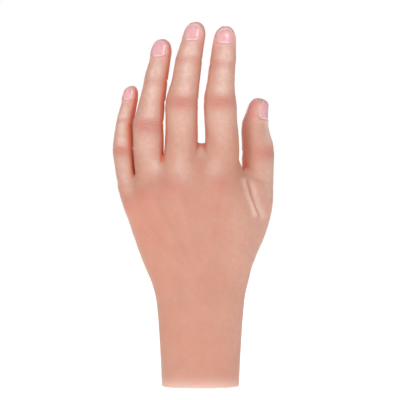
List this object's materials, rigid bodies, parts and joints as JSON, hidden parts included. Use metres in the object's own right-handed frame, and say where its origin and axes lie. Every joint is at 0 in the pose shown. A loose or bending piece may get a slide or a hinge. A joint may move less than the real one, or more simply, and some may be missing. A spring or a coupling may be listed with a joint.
{
  "type": "prosthetic hand",
  "caption": "Left passive cosmetic prosthetic hand: lifelike silicone glove with set-in nails over a foam hand with friction-hinged fingers, on a threaded wrist stud.",
  "frame": {"origin": "on the wrist stud's axis, in the plane of the friction washer's underside, where the forearm's wrist unit seats", "axes": "+Z from the wrist to the fingertips along the stud's axis, +X to the thumb side, -Y to the back of the hand"},
  "size_m": [0.1055, 0.0486, 0.2405],
  "materials": {
    "silicone": "matte skin-toned silicone",
    "nail": "glossy acrylic",
    "foam": "moulded foam skin",
    "washer_rubber": "matte",
    "washer_nylon": "matte",
    "block_plastic": "machined plastic",
    "steel": "turned",
    "aluminium": "brushed"
  },
  "bodies": {
    "hand": {"glove_palm": "silicone", "glove_cuff": "silicone", "palm_foam": "foam", "chassis_plate": "aluminium", "chassis_rivets": "steel", "wrist_block": "block_plastic", "cross_bolts": "steel", "wrist_plate": "aluminium", "plate_screws": "steel", "wrist_stud": "steel", "stud_locknut": "steel", "friction_washer": "washer_rubber", "mcp_pins": "steel", "mcp_washers": "washer_nylon", "index_bracket": "aluminium", "middle_bracket": "aluminium", "ring_bracket": "aluminium", "little_bracket": "aluminium", "thumb_bracket": "aluminium"},
    "index_proximal": {"index_proximal_link": "aluminium", "index_proximal_foam": "foam", "index_glove_proximal": "silicone"},
    "index_distal": {"index_distal_link": "aluminium", "index_distal_foam": "foam", "index_glove_distal": "silicone", "index_nail": "nail", "index_pip_pin": "steel"},
    "middle_proximal": {"middle_proximal_link": "aluminium", "middle_proximal_foam": "foam", "middle_glove_proximal": "silicone"},
    "middle_distal": {"middle_distal_link": "aluminium", "middle_distal_foam": "foam", "middle_glove_distal": "silicone", "middle_nail": "nail", "middle_pip_pin": "steel"},
    "ring_proximal": {"ring_proximal_link": "aluminium", "ring_proximal_foam": "foam", "ring_glove_proximal": "silicone"},
    "ring_distal": {"ring_distal_link": "aluminium", "ring_distal_foam": "foam", "ring_glove_distal": "silicone", "ring_nail": "nail", "ring_pip_pin": "steel"},
    "little_proximal": {"little_proximal_link": "aluminium", "little_proximal_foam": "foam", "little_glove_proximal": "silicone"},
    "little_distal": {"little_distal_link": "aluminium", "little_distal_foam": "foam", "little_glove_distal": "silicone", "little_nail": "nail", "little_pip_pin": "steel"},
    "thumb_proximal": {"thumb_proximal_link": "aluminium", "thumb_proximal_foam": "foam", "thumb_glove_proximal": "silicone"},
    "thumb_distal": {"thumb_distal_link": "aluminium", "thumb_distal_foam": "foam", "thumb_glove_distal": "silicone", "thumb_nail": "nail", "thumb_pip_pin": "steel"}
  },
  "joints": [
    {"name": "index_mcp", "type": "hinge", "parent": "hand", "child": "index_proximal", "pos_m": [0.01415, 0.00241, 0.107], "axis": [-0.9996, 0, 0.0297], "range_deg": [-8, 35]},
    {"name": "index_pip", "type": "hinge", "parent": "index_proximal", "child": "index_distal", "pos_m": [0.01489, 0.005, 0.13195], "axis": [-0.9996, 0, 0.0297], "range_deg": [-5, 60]},
    {"name": "middle_mcp", "type": "hinge", "parent": "hand", "child": "middle_proximal", "pos_m": [-0.01248, 0.00247, 0.1075], "axis": [-0.9938, 0, 0.1115], "range_deg": [-8, 35]},
    {"name": "middle_pip", "type": "hinge", "parent": "middle_proximal", "child": "middle_distal", "pos_m": [-0.00982, 0.005, 0.13121], "axis": [-0.9938, 0, 0.1115], "range_deg": [-5, 60]},
    {"name": "ring_mcp", "type": "hinge", "parent": "hand", "child": "ring_proximal", "pos_m": [-0.03385, 0.00373, 0.0995], "axis": [-0.9968, 0, 0.0802], "range_deg": [-8, 35]},
    {"name": "ring_pip", "type": "hinge", "parent": "ring_proximal", "child": "ring_distal", "pos_m": [-0.03249, 0.006, 0.11635], "axis": [-0.9968, 0, 0.0802], "range_deg": [-5, 60]},
    {"name": "little_mcp", "type": "hinge", "parent": "hand", "child": "little_proximal", "pos_m": [-0.04966, 0.00569, 0.086], "axis": [-0.9986, 0, -0.0523], "range_deg": [-8, 35]},
    {"name": "little_pip", "type": "hinge", "parent": "little_proximal", "child": "little_distal", "pos_m": [-0.05037, 0.008, 0.09954], "axis": [-0.9986, 0, -0.0523], "range_deg": [-5, 60]},
    {"name": "thumb_swing", "type": "hinge", "parent": "hand", "child": "thumb_proximal", "pos_m": [0.03763, 0.01475, 0.079], "axis": [-0.5985, -0.7943, 0.1045], "range_deg": [-5, 35]},
    {"name": "thumb_ip", "type": "hinge", "parent": "thumb_proximal", "child": "thumb_distal", "pos_m": [0.0378, 0.01747, 0.10057], "axis": [-0.5985, -0.7943, 0.1045], "range_deg": [-5, 40]}
  ]
}
